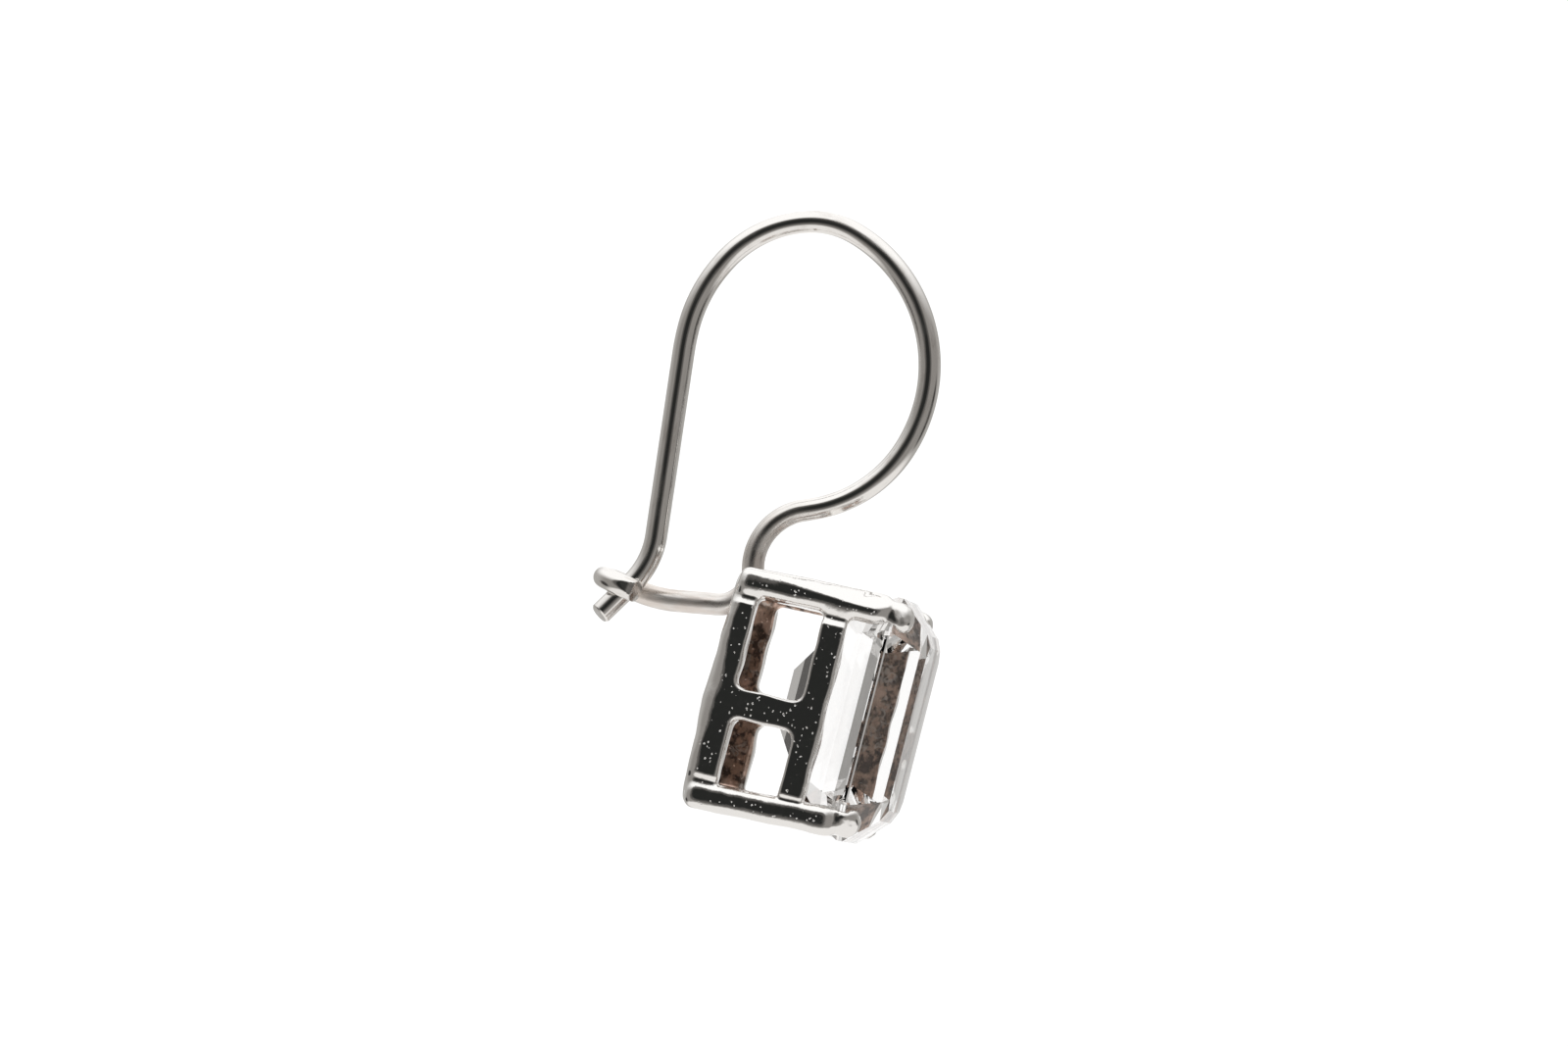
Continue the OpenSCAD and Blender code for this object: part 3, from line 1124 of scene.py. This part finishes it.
@dataclass(frozen=True)
class Studio:
    """A pale floor, soft light from all round with a dark side towards the camera, and the camera.

    The dark side is darkest at its middle, dark_middle, and dim further out, and the stone lets its dim
    colour through as seen_through. That place and the flags' are given in degrees to the left of the
    camera and above level. A ramp gives the degrees between which one colour goes over into the next.
    """

    azimuth: float = -82.5
    elevation: float = -3.4
    distance: float = 300.0
    lens: float = 190.0
    target: Spot = (0.0, 1.0, -10.94)
    floor_level: float = -130.0
    floor_reach: float = 1500.0
    dark_middle: Pair = (16.0, 8.0)
    dark: Colour = (0.022, 0.023, 0.022, 1.0)
    dim: Colour = (0.11, 0.105, 0.1, 1.0)
    dim_ramp: Pair = (13, 24)
    seen_through: Colour = (0.15, 0.13, 0.118, 1.0)
    wall_ramp: Pair = (27, 39)
    front_grey: Colour = (0.285, 0.273, 0.26, 1.0)
    side_grey: Colour = (0.45, 0.44, 0.425, 1.0)
    side_ramp: Pair = (75, 120)
    white: Colour = (1.15, 1.15, 1.15, 1.0)
    behind_ramp: Pair = (156, 180)
    above_ramp: Pair = (15, 52)
    below: Colour = (0.9, 0.885, 0.87, 1.0)
    below_ramp: Pair = (28, 42)
    flags: tuple = ((-82.5, -16.0), (97.5, -16.0))
    flag: Colour = (0.05, 0.048, 0.046, 1.0)
    flag_ramp: Pair = (9, 19)
    backdrop: Colour = (1.1, 1.1, 1.1, 1.0)

    def toward(self, left: float, up: float) -> Spot:
        """The direction so many degrees to the left of the camera's and above level, from the earring."""
        a, e = math.radians(self.azimuth - left), math.radians(up)
        return (math.sin(a) * math.cos(e), -math.cos(a) * math.cos(e), math.sin(e))

    def place_camera(self) -> None:
        """Puts the camera where the photograph was taken from."""
        back = Vector(self.toward(0.0, self.elevation))
        data = bpy.data.cameras.new("camera")
        data.lens = self.lens
        data.clip_start, data.clip_end = 0.01, 20.0
        camera = bpy.data.objects.new("camera", data)
        camera.location = (Vector(self.target) + back * self.distance) * MM
        camera.rotation_euler = back.to_track_quat("Z", "Y").to_euler()
        bpy.context.scene.collection.objects.link(camera)
        bpy.context.scene.camera = camera

    def lay_floor(self, finish: PaleFloor) -> None:
        """Lays a wide square floor under the earring, which the metal's reflections pass by.

        Args:
            finish: The floor's finish.
        """
        reach, level = self.floor_reach * MM, self.floor_level * MM
        mesh = bpy.data.meshes.new("floor")
        corners = [(x * reach, y * reach, level) for x, y in ((-1, -1), (1, -1), (1, 1), (-1, 1))]
        mesh.from_pydata(corners, [], [(0, 1, 2, 3)])
        mesh.materials.append(finish.material())
        floor = bpy.data.objects.new("floor", mesh)
        bpy.context.scene.collection.objects.link(floor)
        floor.visible_glossy = floor.visible_transmission = floor.visible_shadow = False

    def light(self) -> None:
        """Lights the world: white above, below and behind, grey at the sides, dark towards the camera.

        Two smaller dark flags stand before and behind the earring, so that its metal has dark lines from
        those sides too. The light comes from the world's directions alone, and the pictures' background is
        a plain backdrop.
        """
        world = bpy.data.worlds.new("studio")
        bpy.context.scene.world = world
        tree = Tree(world)
        way = tree.node("ShaderNodeTexCoord", out="Generated")

        def along(left: float, up: float) -> Value:
            """How far the way runs along a direction: the cosine of the angle between them."""
            return tree.vector("DOT_PRODUCT", way, self.toward(left, up), 1)

        def off(left: float, up: float) -> Value:
            """How many degrees the way lies off a direction."""
            return along(left, up).math("MINIMUM", 1.0).math("ARCCOSINE") * DEGREES

        height = along(0.0, 90.0).math("ARCSINE") * DEGREES
        round_by = abs(along(90.0, 0.0).math("ARCTAN2", along(0.0, 0.0)) * DEGREES)
        wall = tree.blend(round_by.ramp(*self.side_ramp), self.front_grey, self.side_grey)
        wall = tree.blend(round_by.ramp(*self.behind_ramp), wall, self.white)
        wall = tree.blend(height.ramp(*self.above_ramp), wall, self.white)
        wall = tree.blend((height * -1).ramp(*self.below_ramp), wall, self.below)
        middle = off(*self.dark_middle)
        dim = tree.blend(middle.ramp(*self.dim_ramp), self.dark, self.dim)
        through = tree.node("ShaderNodeLightPath", out="Is Transmission Ray")
        dim = tree.blend(through, dim, self.seen_through)
        colour = tree.blend(middle.ramp(*self.wall_ramp), dim, wall)
        for place in self.flags:
            colour = tree.blend(off(*place).ramp(*self.flag_ramp), self.flag, colour)
        seen = tree.node("ShaderNodeLightPath", out="Is Camera Ray")
        colour = tree.blend(seen, colour, self.backdrop)
        lit = tree.node("ShaderNodeBackground", None, {"Color": colour, "Strength": 1.0})
        tree.node("ShaderNodeOutputWorld", None, {"Surface": lit})
        world.cycles.sampling_method = "MANUAL"
        world.cycles.sample_map_resolution = 1024

    def develop(self) -> None:
        """Lets light bounce long enough inside the stone, and turns it into colour without a curve."""
        cycles = bpy.context.scene.cycles
        cycles.max_bounces = cycles.transmission_bounces = 32
        cycles.glossy_bounces = 12
        view = bpy.context.scene.view_settings
        view.view_transform = "Standard"
        view.look = "None"


def main() -> None:
    """Builds the studio and the earring's pieces in order, and reports each."""
    logging.basicConfig(level=logging.INFO, format="%(name)s: %(message)s")
    studio = Studio()
    studio.place_camera()
    studio.lay_floor(PaleFloor())
    studio.light()
    studio.develop()
    wire = EarWire()
    stone = Stone()
    drawn = wire.build(DrawnSilver())
    log.info("%s: %d faces", drawn.name, len(drawn.data.polygons))
    cast = Basket(stone, wire).build(CastSilver())
    log.info("%s: %d faces", cast.name, len(cast.data.polygons))
    stone.dress(ClearStone())
    log.info("stone: dressed")


if __name__ == "__main__":
    main()
